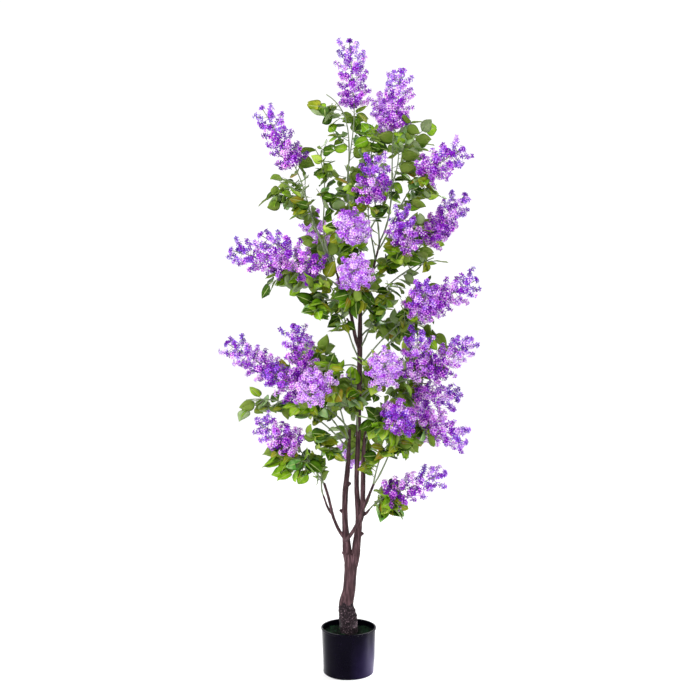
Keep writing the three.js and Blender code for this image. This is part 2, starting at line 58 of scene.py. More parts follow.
# Each limb's way points from root to tip, and its radius at each.
LIMBS = {
    "stem_left": (
        [(-5, 6, FORK), (-10, 9, 430), (-10, 13, 510), (-2, 16, 595), (3, 20, 700)],
        [12.5, 8.4, 8.4, 7, 4],
    ),
    "stem_middle": (
        [(22, -3, FORK), (29, -1, 440), (23, 3, 540), (28, 6, 700), (32, 6, 930), (33, 5, 1080),
         (34, 0, 1262)],
        [12, 9.6, 6.7, 7, 7.4, 5, 3],
    ),
    "stem_right": (
        [(29, -1, 428), (38, -10, 462), (41, -14, 540), (42, -18, 630), (48, -22, 705)],
        [7.8, 7.5, 7, 5.6, 3.5],
    ),
    "bough_low_left": (
        [(-8, 7.6, 384), (-22, 2, 402), (-43, -6, 449), (-57, -10, 508), (-70, -12, 550)],
        [6, 5.1, 4.6, 4, 3.6],
    ),
    "bough_low_left_fork": (
        [(-45, -6.6, 456), (-58, -2, 474), (-73, 6, 513)],
        [3.6, 3.3, 2.5],
    ),
    "bough_low_right": (
        [(-8, 7.6, 378), (2, -24, 398), (20, -34, 430), (42, -42, 484), (71, -48, 554)],
        [6, 5.2, 5, 4.5, 3.5],
    ),
    "bough_bottom_right": (
        [(36.5, -8.5, 455), (48, -14, 462), (60, -20, 476)],
        [4.6, 4.2, 3.2],
    ),
    "bough_upper_left": (
        [(32, 6, 928), (19, -6, 965), (9, -12, 1019), (-7, -15, 1070), (-50, -15, 1191)],
        [6, 5.3, 4.8, 4, 2.5],
    ),
    "bough_upper_left_fork": (
        [(15, -8.7, 985), (5, -2, 1000), (-5, 6, 1018)],
        [3.6, 3.3, 2.6],
    ),
    "bough_top_right": (
        [(33.5, 5, 1048), (46, 8, 1082), (69, 10, 1156), (90, 10, 1239)],
        [5, 4.2, 3.7, 2.7],
    ),
}
TRUNK_WAY = [(2, 0, SOIL), (-2, 0, 160), (-7, 0, 197), (1, 0, 236), (5, 0, 285), (8, 0, 344)]
TRUNK_RADII = [25, 26, 21, 18.2, 17.8, 20]
PRONGS = dict(to=("stem_left", "stem_middle"), lean=0.25, depth=34, knee=16, radius=15)
# Stubs of cut side branches: limb, height, bearing.
STUBS = [
    ("stem_left", 458, 180), ("stem_left", 536, 350), ("stem_middle", 392, 0), ("trunk", 330, 180),
]
STUB = dict(length=8, radius=4.4, climb=0.7, hidden=1.2, rootSwell=1.5, endTaper=0.85)

# name, limb it leaves, at height; bloom foot's bearing, reach and height;
# bloom's turn, pitch and length (no length: a leafy spray without blossom).
SPRAYS = [
    ("spray_top", "stem_middle", 1258, 0, 15, 1620, 156, 86, 178),
    ("spray_top_right", "bough_top_right", 1237, 347, 132, 1555, 324, 79, 152),
    ("spray_high_left", "bough_upper_left", 1188, 190, 157, 1451, 191, 62, 180),
    ("spray_high_right", "bough_top_right", 1208, 345, 220, 1420, 315, 25, 140),
    ("spray_high_front", "bough_top_right", 1180, 296, 132, 1348, 286, 48, 125),
    ("spray_high_back", "stem_middle", 1225, 28, 145, 1567, 134, 58, 120),
    ("spray_upper_front", "stem_middle", 1140, 275, 132, 1259, 269, 6, 140),
    ("spray_upper_right", "bough_top_right", 1120, 0, 220, 1238, 10, 48, 175),
    ("spray_upper_right_front", "bough_top_right", 1090, 329, 183, 1228, 261, 31, 125),
    ("spray_upper_right_back", "bough_top_right", 1150, 24, 265, 1267, 55, 30, 130),
    ("spray_upper_back_left", "bough_upper_left", 1160, 116, 131, 1215, 128, 47, 160),
    ("spray_upper_left", "bough_upper_left", 1090, 194, 185, 1170, 190, 14, 158),
    ("spray_upper_left_front", "stem_middle", 900, 228, 134, 1149, 198, 35, 188),
    ("spray_middle_front", "stem_middle", 1085, 279, 140, 1132, 266, 9, 140),
    ("spray_middle_back", "stem_middle", 1045, 86, 140, 1113, 94, 28, 145),
    ("spray_middle_right", "stem_middle", 880, 355, 235, 1060, 350, 25, 145),
    ("spray_middle_right_front", "stem_middle", 850, 337, 214, 1051, 272, 20, 134),
    ("spray_middle_right_back", "stem_middle", 960, 35, 225, 1024, 52, 25, 155),
    ("spray_lower_right_front", "stem_middle", 820, 344, 179, 864, 296, 62, 145),
    ("spray_lower_right_out", "stem_middle", 790, 355, 230, 867, 346, 35, 155),
    ("spray_lower_front_right", "stem_middle", 760, 307, 157, 864, 273, 25, 135),
    ("spray_lower_right", "stem_right", 702, 5, 190, 805, 15, -10, 140),
    ("spray_lower_front_low", "stem_right", 680, 317, 183, 757, 275, -4, 118),
    ("spray_bottom_right", "bough_bottom_right", 474, 343, 117, 517, 352, 22, 180),
    ("spray_low_right", "bough_low_right", 551, 349, 216, 728, 341, -20, 134),
    ("spray_lower_left_out", "stem_left", 697, 185, 220, 870, 190, 35, 150),
    ("spray_lower_left", "stem_middle", 740, 205, 130, 860, 220, 70, 150),
    ("spray_lower_left_back", "stem_middle", 870, 135, 160, 855, 105, 40, 145),
    ("spray_lower_front_left", "stem_left", 670, 241, 150, 851, 249, -20, 124),
    ("spray_low_left", "bough_low_left", 547, 199, 162, 662, 195, 36, 125),
    ("spray_low_back", "stem_middle", 665, 80, 125, 655, 95, -40, 140),
    ("spray_lower_back", "stem_middle", 780, 88, 150, 785, 97, 17, 140),
    ("spray_lower_left_front", "stem_left", 660, 207, 142, 812, 209, 32, 128),
    ("spray_low_back_right", "stem_right", 655, 40, 200, 715, 55, 5, 140),
    ("leaves_low_left", "bough_low_left_fork", 511, 189, 91, 596, 194, -43, 0),
    ("leaves_left", "stem_left", 640, 186, 290, 789, 180, -8, 0),
    ("leaves_top_left", "stem_middle", 1245, 200, 66, 1640, 197, 27, 0),
    ("leaves_top_right", "bough_top_right", 1225, 312, 132, 1533, 303, 23, 0),
    ("leaves_high_left", "bough_upper_left", 1175, 206, 103, 1487, 219, 49, 0),
    ("leaves_high_far_left", "bough_upper_left", 1150, 196, 198, 1396, 200, 14, 0),
    ("leaves_high_back", "stem_middle", 1205, 96, 105, 1460, 115, 45, 0),
    ("leaves_upper_left", "bough_upper_left", 1040, 221, 159, 1049, 205, -24, 0),
    ("leaves_upper_right", "stem_middle", 1020, 350, 241, 1187, 343, 18, 0),
    ("leaves_middle_right", "stem_middle", 930, 331, 144, 1098, 316, 21, 0),
    ("leaves_low_front", "stem_left", 600, 208, 147, 692, 217, 23, 0),
    ("leaves_low_middle", "stem_middle", 690, 272, 115, 841, 247, 5, 0),
    ("leaves_lower_right", "bough_low_right", 470, 337, 156, 666, 340, -23, 0),
]
# Panicles whose florets are paler than the rest.
PALE_SPRAYS = (
    "spray_upper_front", "spray_middle_front", "spray_upper_back_left", "spray_lower_front_right",
    "spray_lower_front_left", "spray_low_back", "spray_high_back",
)

STEM = dict(
    rootRadius=2.4, footRadius=1.44, bow=0.36, outwards=0.6, upwards=0.8, steps=28, nodeSteps=6,
    nodeSwell=1.3,
)
TWIG = dict(
    each=7, first=0.34, last=0.94, ofStem=0.45, long=104, short=34, radius=1.1, tipRadius=0.7, sideways=0.8,
    forwards=0.5, tries=12, tryTurn=0.9, perTwig=6, firstLeaf=0.26, lastLeaf=0.86, steps=5, bend=4,
)
LEAF = dict(
    onStem=8, firstOnStem=0.32, lastOnStem=0.96, long=60, short=40, sideways=0.9, forwards=0.5,
    hang=0.25, wide=0.66, widest=0.42, fold=0.05, droop=0.12, faceOut=0.7, faceUp=0.45, faceAnyWay=1.9,
    turn=2.9, petiole=0.14, thick=0.35, underGrey=0.25,
)
# How blades differ, lowest and highest, and what they share, as parts of their length.
BLADE = dict(
    curl=(-0.02, 0.1), wave=(0.004, 0.022), twist=(-0.35, 0.35), crease=(0.4, 1.6), sway=(-0.05, 0.05),
    waves=11, ribbing=0.012, groove=0.006,
)
PANICLE = dict(
    radius=55.5, taper=0.18, arms=28, first=-0.05, last=0.9, crowding=1.2, lowRise=0.1, highRise=0.65,
    armRadius=0.7, wireSides=4, axisRadius=1.1, axisShare=0.93, bow=0.06, knee=0.6, lowBare=0.12,
    highBare=0.4, spacing=2.3, pedicel=8.2, floret=7.8, floretAnyWay=0.9, alike=0.4, tipFlorets=16,
)
GOLDEN = 137.5 * RAD
BLOOM_ROOM = 26
BORDER = 3
LIMB_AIR = 3
LINE_STEPS = 12
TINY = 1e-9
SEED = dict(spray=1009, twig=53, attempt=7, first=41, stemLeaves=300, bloom=500)

# -------- small tools


def mix(low, high, share):
    return low + (high - low) * share


def unit(vector):
    return vector / max(np.linalg.norm(vector), TINY)


def lerp(start, end, share):
    return start + (end - start) * share


class Stream:
    """Numbers from 0 to 1, the same each time for the same seed."""

    def __init__(self, seed):
        self.state = seed % 2**32
        self()
        self()

    def __call__(self):
        self.state = (self.state * 1664525 + 1013904223) % 2**32
        return self.state / 2**32


class Way:
    """A smooth curve through points (a centripetal Catmull-Rom spline), walked at even speed."""

    PER_SPAN = 48

    def __init__(self, points):
        given = np.array(points, float)
        held = np.vstack([2 * given[0] - given[1], given, 2 * given[-1] - given[-2]])
        rows = [given[0]]
        for span in range(len(given) - 1):
            corners = held[span:span + 4]
            steps = np.sqrt(np.linalg.norm(np.diff(corners, axis=0), axis=1))
            rows.extend(self.hermite(corners, steps, i / self.PER_SPAN) for i in range(1, self.PER_SPAN + 1))
        self.points = np.array(rows)
        runs = np.linalg.norm(np.diff(self.points, axis=0), axis=1)
        self.runs = np.concatenate([[0], np.cumsum(runs)])
        self.length = self.runs[-1]

    @staticmethod
    def hermite(p, d, t):
        leave = (p[1] - p[0]) / d[0] - (p[2] - p[0]) / (d[0] + d[1]) + (p[2] - p[1]) / d[1]
        reach = (p[2] - p[1]) / d[1] - (p[3] - p[1]) / (d[1] + d[2]) + (p[3] - p[2]) / d[2]
        leave = leave * d[1]
        reach = reach * d[1]
        square = -3 * p[1] + 3 * p[2] - 2 * leave - reach
        cube = 2 * p[1] - 2 * p[2] + leave + reach
        return p[1] + leave * t + square * t**2 + cube * t**3

    def at(self, share):
        run = np.clip(share, 0, 1) * self.length
        return np.stack([np.interp(run, self.runs, self.points[:, axis]) for axis in range(3)], axis=-1)

    def tangent(self, share):
        return unit(self.at(min(1, share + 0.002)) - self.at(max(0, share - 0.002)))

    def share_at(self, height):
        return np.interp(height, self.points[:, 2], self.runs) / self.length


class Cubic:
    """A cubic Bezier curve."""

    def __init__(self, *corners):
        self.corners = [np.array(corner, float) for corner in corners]

    def at(self, share):
        a, b, c, d = self.corners
        rest = 1 - share
        return a * rest**3 + 3 * b * share * rest**2 + 3 * c * share**2 * rest + d * share**3

    def tangent(self, share):
        a, b, c, d = self.corners
        rest = 1 - share
        return unit((b - a) * rest**2 + 2 * (c - b) * share * rest + (d - c) * share**2)


def sideways(tangent, angle):
    """A direction square to a line, turned by an angle round it."""
    across = np.array((1.0, 0.0, 0.0)) if abs(tangent[2]) > 0.95 else UP
    first = unit(np.cross(tangent, across))
    second = np.cross(tangent, first)
    return first * math.cos(angle) + second * math.sin(angle)


def flat_way(turn):
    """A level direction, turned from +X by an angle in radians."""
    return np.array((math.cos(turn), math.sin(turn), 0.0))


def any_way(rand):
    return np.array((rand() - 0.5, rand() - 0.5, rand() - 0.5))


# -------- limbs and sprays

ways = {name: Way(points) for name, (points, _) in LIMBS.items()}
ways["trunk"] = Way(TRUNK_WAY)
radii = {name: (np.array(points, float), sizes) for name, (points, sizes) in LIMBS.items()}
radii["trunk"] = (np.array(TRUNK_WAY, float), TRUNK_RADII)


def radius_of(name, share):
    """A limb's radius at a share of its way, straight between the sizes at its points."""
    points, sizes = radii[name]
    runs = np.concatenate([[0], np.cumsum(np.linalg.norm(np.diff(points, axis=0), axis=1))])
    return np.interp(np.asarray(share) * runs[-1], runs, sizes)


class Spray:
    """One wire stem with its leaves and, at its end, its panicle."""

    def __init__(self, index, row):
        self.index = index
        self.name, limb, at, bearing, reach, height, turn, pitch, self.length = row
        root = ways[limb].at(ways[limb].share_at(at))
        foot = flat_way(bearing * RAD) * reach + UP * height
        self.foot = foot
        self.aim = flat_way(turn * RAD) * math.cos(pitch * RAD) + UP * math.sin(pitch * RAD)
        self.tip = foot + self.aim * self.length
        self.span = np.linalg.norm(foot - root)
        bow = self.span * STEM["bow"]
        start = unit((foot - root) * (1, 1, 0)) * STEM["outwards"] + UP * STEM["upwards"]
        self.stem = Cubic(root, root + start * bow, foot - self.aim * bow, foot)
        self.line = [self.stem.at(i / LINE_STEPS) for i in range(LINE_STEPS + 1)]

    def stream(self, own):
        return Stream(SEED["first"] + self.index * SEED["spray"] + own)


sprays = [Spray(index, row) for index, row in enumerate(SPRAYS)]


def to_segments(points, starts, ends):
    """How far each point is from each segment, and where along it is nearest."""
    along = ends - starts
    reach = points[:, None] - starts[None]
    share = (reach * along).sum(2) / np.maximum((along * along).sum(1), TINY)
    share = np.clip(share, 0, 1)
    return np.linalg.norm(reach - share[..., None] * along, axis=2), share


class Room:
    """Who owns the space: the nearest spray, a bloom counting as nearer than it is."""

    def __init__(self):
        starts, ends, room, first = [], [], [], []
        for spray in sprays:
            first.append(len(starts))
            starts.extend(spray.line[:-1])
            ends.extend(spray.line[1:])
            room.extend([0] * LINE_STEPS)
            if spray.length:
                starts.append(spray.foot)
                ends.append(spray.tip)
                room.append(BLOOM_ROOM)
        self.starts = np.array(starts)
        self.ends = np.array(ends)
        self.room = np.array(room)
        self.first = first
        marks = np.linspace(0, 1, LINE_STEPS + 1)
        lines = [way.at(marks) for way in ways.values()]
        self.limb_starts = np.vstack([line[:-1] for line in lines])
        self.limb_ends = np.vstack([line[1:] for line in lines])
        self.limb_low = np.concatenate([radius_of(name, marks[:-1]) for name in ways])
        self.limb_high = np.concatenate([radius_of(name, marks[1:]) for name in ways])

    def fits(self, spray, corners):
        """Whether a piece lies in its spray's space, above the pot and clear of the limbs."""
        corners = np.array(corners)
        if corners[:, 2].min() < POT["height"]:
            return False
        pairs = np.triu_indices(len(corners), 1)
        points = np.vstack([corners, (corners[pairs[0]] + corners[pairs[1]]) / 2])
        away, share = to_segments(points, self.limb_starts, self.limb_ends)
        if (away <= mix(self.limb_low, self.limb_high, share) + LIMB_AIR).any():
            return False
        away, _ = to_segments(points, self.starts, self.ends)
        near = np.minimum.reduceat(away - self.room, self.first, axis=1)
        own = near[:, spray.index].copy()
        near[:, spray.index] = np.inf
        return bool((near.min(1) > own + BORDER).all())


room = Room()

# -------- meshes


def gather(parts):
    """Points, three-cornered faces and each face's material number, from parts of these three."""
    points, faces, paints, shift = [], [], [], 0
    for part_points, part_faces, paint in parts:
        points.append(part_points)
        faces.append(part_faces + shift)
        paints.append(np.full(len(part_faces), paint))
        shift += len(part_points)
    return np.vstack(points), np.vstack(faces), np.concatenate(paints)


def make_mesh(name, points, faces, paints, materials):
    """A smooth mesh object in metres from points in millimetres and faces of three corners."""
    mesh = bpy.data.meshes.new(name)
    mesh.vertices.add(len(points))
    mesh.vertices.foreach_set("co", (points * MM).astype(np.float32).ravel())
    mesh.loops.add(faces.size)
    mesh.loops.foreach_set("vertex_index", faces.astype(np.int32).ravel())
    mesh.polygons.add(len(faces))
    mesh.polygons.foreach_set("loop_start", np.arange(0, faces.size, 3, dtype=np.int32))
    for material in materials:
        mesh.materials.append(material)
    mesh.polygons.foreach_set("material_index", np.full(len(faces), paints, np.int32))
    mesh.polygons.foreach_set("use_smooth", np.full(len(faces), True))
    mesh.update(calc_edges=True)
    mesh.validate()
    obj = bpy.data.objects.new(name, mesh)
    bpy.context.scene.collection.objects.link(obj)
    return obj


def hold(obj, slot, *nodes):
    """The piece rides on the plant's one body and stands for these CAD nodes."""
    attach(obj, "root")
    if nodes:
        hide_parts(*nodes)


def skin(rings, sides):
    """Faces round a stack of rings, closed by a fan to each of the two points after them."""
    near = np.arange(sides)
    after = (near + 1) % sides
    faces = []
    for ring in range(rings - 1):
        low, high = ring * sides, (ring + 1) * sides
        faces.append(np.stack([near + low, after + low, after + high], 1))
        faces.append(np.stack([near + low, after + high, near + high], 1))
    foot, last = rings * sides, (rings - 1) * sides
    faces.append(np.stack([np.full(sides, foot), after, near], 1))
    faces.append(np.stack([np.full(sides, foot + 1), near + last, after + last], 1))
    return np.vstack(faces)


def tube(points, sizes, sides):
    """A closed round bar along points: its points and its faces of three corners."""
    points = np.asarray(points, float)
    tangents = np.gradient(points, axis=0)
    tangents /= np.linalg.norm(tangents, axis=1)[:, None]
    normal = sideways(tangents[0], 0)
    turns = np.linspace(0, 2 * math.pi, sides, endpoint=False)
    rings = []
    for point, tangent, size in zip(points, tangents, sizes):
        normal = unit(normal - tangent * np.dot(normal, tangent))
        other = np.cross(tangent, normal)
        rings.append(point + size * (np.outer(np.cos(turns), normal) + np.outer(np.sin(turns), other)))
    return np.vstack(rings + [points[:1], points[-1:]]), skin(len(points), sides)


def lathe(profile, sides):
    """A closed turned solid from (radius, height) points that start and end on the axis."""
    turns = np.linspace(0, 2 * math.pi, sides, endpoint=False)
    inner = np.array(profile[1:-1], float)
    rings = np.stack([np.outer(inner[:, 0], np.cos(turns)), np.outer(inner[:, 0], np.sin(turns)),
                      np.repeat(inner[:, 1:], sides, axis=1)], axis=-1).reshape(-1, 3)
    poles = np.array([(0, 0, profile[0][1]), (0, 0, profile[-1][1])], float)
    return np.vstack([rings, poles]), skin(len(inner), sides)


# -------- materials


def colour(code):
    """A display colour such as 0x8040c0 as linear red, green, blue and opacity."""
    parts = [(code >> shift & 255) / 255 for shift in (16, 8, 0)]
    return tuple(c / 12.92 if c <= 0.04045 else ((c + 0.055) / 1.055) ** 2.4 for c in parts) + (1,)


def new_material(name, roughness, specular):
    material = bpy.data.materials.new(name)
    material.use_nodes = True
    shader = material.node_tree.nodes["Principled BSDF"]
    shader.inputs["Roughness"].default_value = roughness
    shader.inputs["Specular IOR Level"].default_value = specular
    return material, material.node_tree, shader


def grain(tree, place, scale, detail):
    """The grey of a noise that reads its place from a mapping node."""
    node = tree.nodes.new("ShaderNodeTexNoise")
    node.inputs["Scale"].default_value = scale
    node.inputs["Detail"].default_value = detail
    tree.links.new(place.outputs["Vector"], node.inputs["Vector"])
    return node.outputs["Fac"]


def speckled(name, roughness, specular, scale, stops, detail=4, lengthwise=1, relief=None):
    """Colour stops along a noise in the object's own space, and relief (scale, strength, distance)."""
    material, tree, shader = new_material(name, roughness, specular)
    where = tree.nodes.new("ShaderNodeTexCoord")
    place = tree.nodes.new("ShaderNodeMapping")
    place.inputs["Scale"].default_value = (1, 1, lengthwise)
    tree.links.new(where.outputs["Object"], place.inputs["Vector"])
    ramp = tree.nodes.new("ShaderNodeValToRGB")
    marks = ramp.color_ramp.elements
    marks.remove(marks[1])
    marks[0].position = stops[0][0]
    marks[0].color = colour(stops[0][1])
    for position, code in stops[1:]:
        marks.new(position).color = colour(code)
    tree.links.new(grain(tree, place, scale, detail), ramp.inputs["Fac"])
    tree.links.new(ramp.outputs["Color"], shader.inputs["Base Color"])
    if relief:
        bump = tree.nodes.new("ShaderNodeBump")
        bump.inputs["Strength"].default_value = relief[1]
        bump.inputs["Distance"].default_value = relief[2]
        tree.links.new(grain(tree, place, relief[0], 5), bump.inputs["Height"])
        tree.links.new(bump.outputs["Normal"], shader.inputs["Normal"])
    return material


def pot_material():
    stops = [(0.3, 0x020108), (0.7, 0x05030e)]
    material = speckled("pot_plastic", 0.22, 0.07, 40, stops, relief=(260, 0.03, 0.0006))
    tint = material.node_tree.nodes["Principled BSDF"].inputs["Specular Tint"]
    tint.default_value = (0.76, 0.7, 1, 1)
    return material


def bark_material(name, stops, scale, roughness, strength, lengthwise):
    return speckled(name, roughness, 0.3, scale, stops, 6, lengthwise, (420, strength, 0.0012))


def leaf_material(name, low, high, roughness=0.48):
    return speckled(name, roughness, 0.12, 34, [(0.36, low), (0.64, high)], relief=(500, 0.12, 0.0006))


BROWN = [(0.28, 0x190c10), (0.5, 0x452c31), (0.75, 0x78585f)]
ROUGH = [(0.3, 0x08050a), (0.49, 0x1f1319), (0.6, 0x3c2c35), (0.72, 0x8a767c)]
BARK = [
    bark_material("bark_brown", BROWN, 210, 0.75, 0.5, 0.12),
    bark_material("bark_rough", ROUGH, 290, 0.85, 0.9, 0.7),
]
MOSS = [
    speckled("moss_dark", 0.9, 0.2, 90, [(0.3, 0x080c0a), (0.6, 0x121d15), (0.85, 0x1f3022)]),
    speckled("moss_green", 0.9, 0.2, 90, [(0.3, 0x10261a), (0.7, 0x224a2c)]),
]
LEAF_TOPS = [
    leaf_material("leaf_deep", 0x1c3602, 0x4c740a),
    leaf_material("leaf_green", 0x5e8e08, 0xa0cc2c),
    leaf_material("leaf_fresh", 0x80b014, 0xc4dc5c),
    leaf_material("leaf_olive", 0x6a8410, 0xaaae2c),
    leaf_material("leaf_bronze", 0x70901a, 0x9a7c22),
    leaf_material("leaf_blue_green", 0x589638, 0xb0d090),
]
LEAF_SHARES = (0.28, 0.56, 0.68, 0.82, 0.88, 1)
LEAF_UNDERS = [
    leaf_material("leaf_under_grey", 0x8ca668, 0xaabe88, 0.6),
    leaf_material("leaf_under_green", 0x6e8c2c, 0x88a044, 0.6),
]
LEAF_VEIN = leaf_material("leaf_vein", 0x9cb060, 0xb8c67e)
PETAL_COLOURS = {
    "deep": (0x62089a, 0x8a1ec4),
    "violet": (0xac40dc, 0xca62f4),
    "lilac": (0xbe74f4, 0xd89cff),
    "pale": (0xe8c0ff, 0xfce0ff),
    "pink": (0xd460e4, 0xf098ff),
    "blue": (0x6c3cc6, 0x986cec),
}
PETAL_NAMES = list(PETAL_COLOURS)
PETALS = [
    speckled("petal_" + name, 0.65, 0.06, 110, [(0.35, low), (0.65, high)], detail=2)
    for name, (low, high) in PETAL_COLOURS.items()
]
WIRE = speckled("wire_green", 0.55, 0.35, 60, [(0.3, 0x6f7d58), (0.7, 0x95a283)])

# -------- bark

BARK_VOXEL = 1.3
BARK_SMOOTHING = 3
BAR = dict(step=3, sides=20, prongSteps=12, stubSteps=8, stubSides=14)
GROOVE = dict(depth=0.75, width=3.2, length=42, fine=0.3, fineWidth=1.4, fineLength=15)
KNOT = dict(top=212, fade=26, depth=2.1, size=6.5, speckDepth=0.8, speckSize=2.4)
# Where the rough foot's colour ends: this far under the knots' top, wandering by this much.
ROUGH_EDGE = dict(under=8, wander=16, patch=14)


def trunk_parts():
    """Closed bars for the trunk, its prongs, every limb and the cut stubs."""
    parts = []
    for name, way in ways.items():
        shares = np.linspace(0, 1, int(way.length / BAR["step"]) + 2)
        parts.append(tube(way.at(shares), radius_of(name, shares), BAR["sides"]) + (0,))
    top = np.array(TRUNK_WAY[-1], float)
    for name in PRONGS["to"]:
        end = ways[name].at(0)
        tangent = ways[name].tangent(0)
        start = lerp(top, end, PRONGS["lean"])
        start[2] = top[2] - PRONGS["depth"]
        prong = Way([start, end - tangent * PRONGS["knee"], end + tangent])
        shares = np.linspace(0, 1, BAR["prongSteps"])
        sizes = mix(PRONGS["radius"], LIMBS[name][1][0], shares)
        parts.append(tube(prong.at(shares), sizes, BAR["sides"]) + (0,))
    for name, height, bearing in STUBS:
        share = ways[name].share_at(height)
        start = ways[name].at(share)
        out = unit(flat_way(bearing * RAD) + UP * STUB["climb"])
        reach = radius_of(name, share) * STUB["hidden"] + STUB["length"]
        stub = start + np.outer(np.linspace(0, reach, BAR["stubSteps"]), out)
        swell, taper = STUB["radius"] * STUB["rootSwell"], STUB["radius"] * STUB["endTaper"]
        parts.append(tube(stub, np.linspace(swell, taper, BAR["stubSteps"]), BAR["stubSides"]) + (0,))
    return parts


def smoothed(points, edges, rounds):
    """Each point moved half way to the middle of its neighbours, several times."""
    counts = np.bincount(edges.ravel(), minlength=len(points))[:, None]
    for _ in range(rounds):
        sums = np.zeros_like(points)
        np.add.at(sums, edges[:, 0], points[edges[:, 1]])
        np.add.at(sums, edges[:, 1], points[edges[:, 0]])
        points = (points + sums / np.maximum(counts, 1)) / 2
    return points


def bark_relief(point, run, out):
    """How far the bark stands out: lengthwise grooves, and knobs round the rough foot."""
    wide, fine = GROOVE["width"], GROOVE["fineWidth"]
    long_way = run / GROOVE["length"]
    coarse = noise.noise(Vector((out[0] / wide, out[1] / wide + long_way * 0.3, out[2] / wide + long_way)))
    small = noise.noise(Vector((out[0] / fine, out[1] / fine, out[2] / fine + run / GROOVE["fineLength"])))
    relief = GROOVE["depth"] * (0.5 - abs(coarse) * 2) + GROOVE["fine"] * small
    rough = np.clip((KNOT["top"] - point[2]) / KNOT["fade"], 0, 1)
    if rough > 0:
        knob = noise.noise(Vector(point / KNOT["size"]))
        speck = noise.noise(Vector(point / KNOT["speckSize"]))
        relief = mix(relief, KNOT["depth"] * knob + KNOT["speckDepth"] * speck, rough)
    return relief


def bark():
    points, faces, paints = gather(trunk_parts())
    rough = make_mesh("bark_bars", points, faces, paints, [])
    remesh = rough.modifiers.new("fuse", "REMESH")
    remesh.mode = "VOXEL"
    remesh.voxel_size = BARK_VOXEL * MM
    shape = bpy.data.meshes.new_from_object(rough.evaluated_get(bpy.context.evaluated_depsgraph_get()))
    bpy.data.objects.remove(rough)
    points = np.zeros(len(shape.vertices) * 3)
    shape.vertices.foreach_get("co", points)
    points = points.reshape(-1, 3) / MM
    edges = np.zeros(len(shape.edges) * 2, np.int32)
    shape.edges.foreach_get("vertices", edges)
    points = smoothed(points, edges.reshape(-1, 2), BARK_SMOOTHING)
    shape.calc_loop_triangles()
    faces = np.zeros(len(shape.loop_triangles) * 3, np.int32)
    shape.loop_triangles.foreach_get("vertices", faces)
    faces = faces.reshape(-1, 3)
    normals = vertex_normals(points, faces)
    runs, outs = along_limbs(points)
    relief = np.array([bark_relief(p, run, out) for p, run, out in zip(points, runs, outs)])
    points = points + normals * relief[:, None]
    points[:, 2] = np.maximum(points[:, 2], SOIL)
    middle = points[faces].mean(1)
    wander = np.array([noise.noise(Vector(p / ROUGH_EDGE["patch"])) for p in middle]) * ROUGH_EDGE["wander"]
    paints = (middle[:, 2] + wander < KNOT["top"] - ROUGH_EDGE["under"]).astype(int)
    return make_mesh("bark", points, faces, paints, BARK)


def vertex_normals(points, faces):
    corner = points[faces]
    flat = np.cross(corner[:, 1] - corner[:, 0], corner[:, 2] - corner[:, 0])
    sums = np.zeros_like(points)
    for side in range(3):
        np.add.at(sums, faces[:, side], flat)
    return sums / np.maximum(np.linalg.norm(sums, axis=1), TINY)[:, None]


def along_limbs(points):
    """For each point the run along its nearest limb, and its offset from the limb's middle."""
    starts, ends, runs = [], [], []
    for way in ways.values():
        line = way.at(np.linspace(0, 1, LINE_STEPS * 2 + 1))
        starts.append(line[:-1])
        ends.append(line[1:])
        runs.append(np.arange(LINE_STEPS * 2) * way.length / (LINE_STEPS * 2) + 1000 * len(runs))
    starts, ends, runs = np.vstack(starts), np.vstack(ends), np.concatenate(runs)
    found_runs, outs = [], []
    for block in np.array_split(points, max(1, len(points) // 4000)):
        away, share = to_segments(block, starts, ends)
        best = away.argmin(1)
        rows = np.arange(len(block))
        along = ends[best] - starts[best]
        part = share[rows, best][:, None]
        outs.append(block - starts[best] - along * part)
        found_runs.append(runs[best] + part[:, 0] * np.linalg.norm(along, axis=1))
    return np.concatenate(found_runs), np.vstack(outs)


# -------- pot and moss

POT_SIDES = 128
MOSS_BED = dict(
    rings=34, turns=120, swell=4.5, patch=17, lump=1.1, lumpSize=5, blades=5200, blade=5.5, bladeWide=0.55,
    greenPatch=20,
)


def arc(radius, height, size, start, end, steps=6):
    """Points of a round corner in a turned profile."""
    turns = np.linspace(start * RAD, end * RAD, steps)
    return [(radius + size * math.cos(turn), height + size * math.sin(turn)) for turn in turns]


def pot():
    p = POT
    band = p["height"] - p["rimTall"]
    profile = [(0, 0)]
    profile += arc(p["footRadius"] - p["footRound"], p["footRound"], p["footRound"], -90, 0, 8)
    profile += [(mix(p["footRadius"], p["topRadius"], s), mix(p["footRound"], band - 1.5, s))
                for s in np.linspace(0.1, 1, 8)]
    profile += arc(p["rimRadius"] - 1, band + 1, 1, -60, 0, 4)
    profile += arc(p["rimRadius"] - 1, p["height"] - 1, 1, 0, 90)
    inner = p["topRadius"] - p["wall"]
    profile += arc(inner + 0.8, p["height"] - 0.8, 0.8, 90, 180, 5)
    profile += [(p["footRadius"] - p["wall"], p["floor"]), (0, p["floor"])]
    points, faces = lathe(profile, POT_SIDES)
    obj = make_mesh("pot_shell", points, faces, 0, [pot_material()])
    obj.data.set_sharp_from_angle(angle=40 * RAD)
    return obj


def bore_at(height):
    low, high = POT["floor"], POT["height"]
    return mix(POT["footRadius"], POT["topRadius"], (height - low) / (high - low)) - POT["wall"]


def moss_height(x, y):
    swell = noise.noise(Vector((x / MOSS_BED["patch"], y / MOSS_BED["patch"], 3.7)))
    lump = noise.noise(Vector((x / MOSS_BED["lumpSize"], y / MOSS_BED["lumpSize"], 9.1)))
    return SOIL + MOSS_BED["swell"] * (0.35 + swell) + MOSS_BED["lump"] * lump


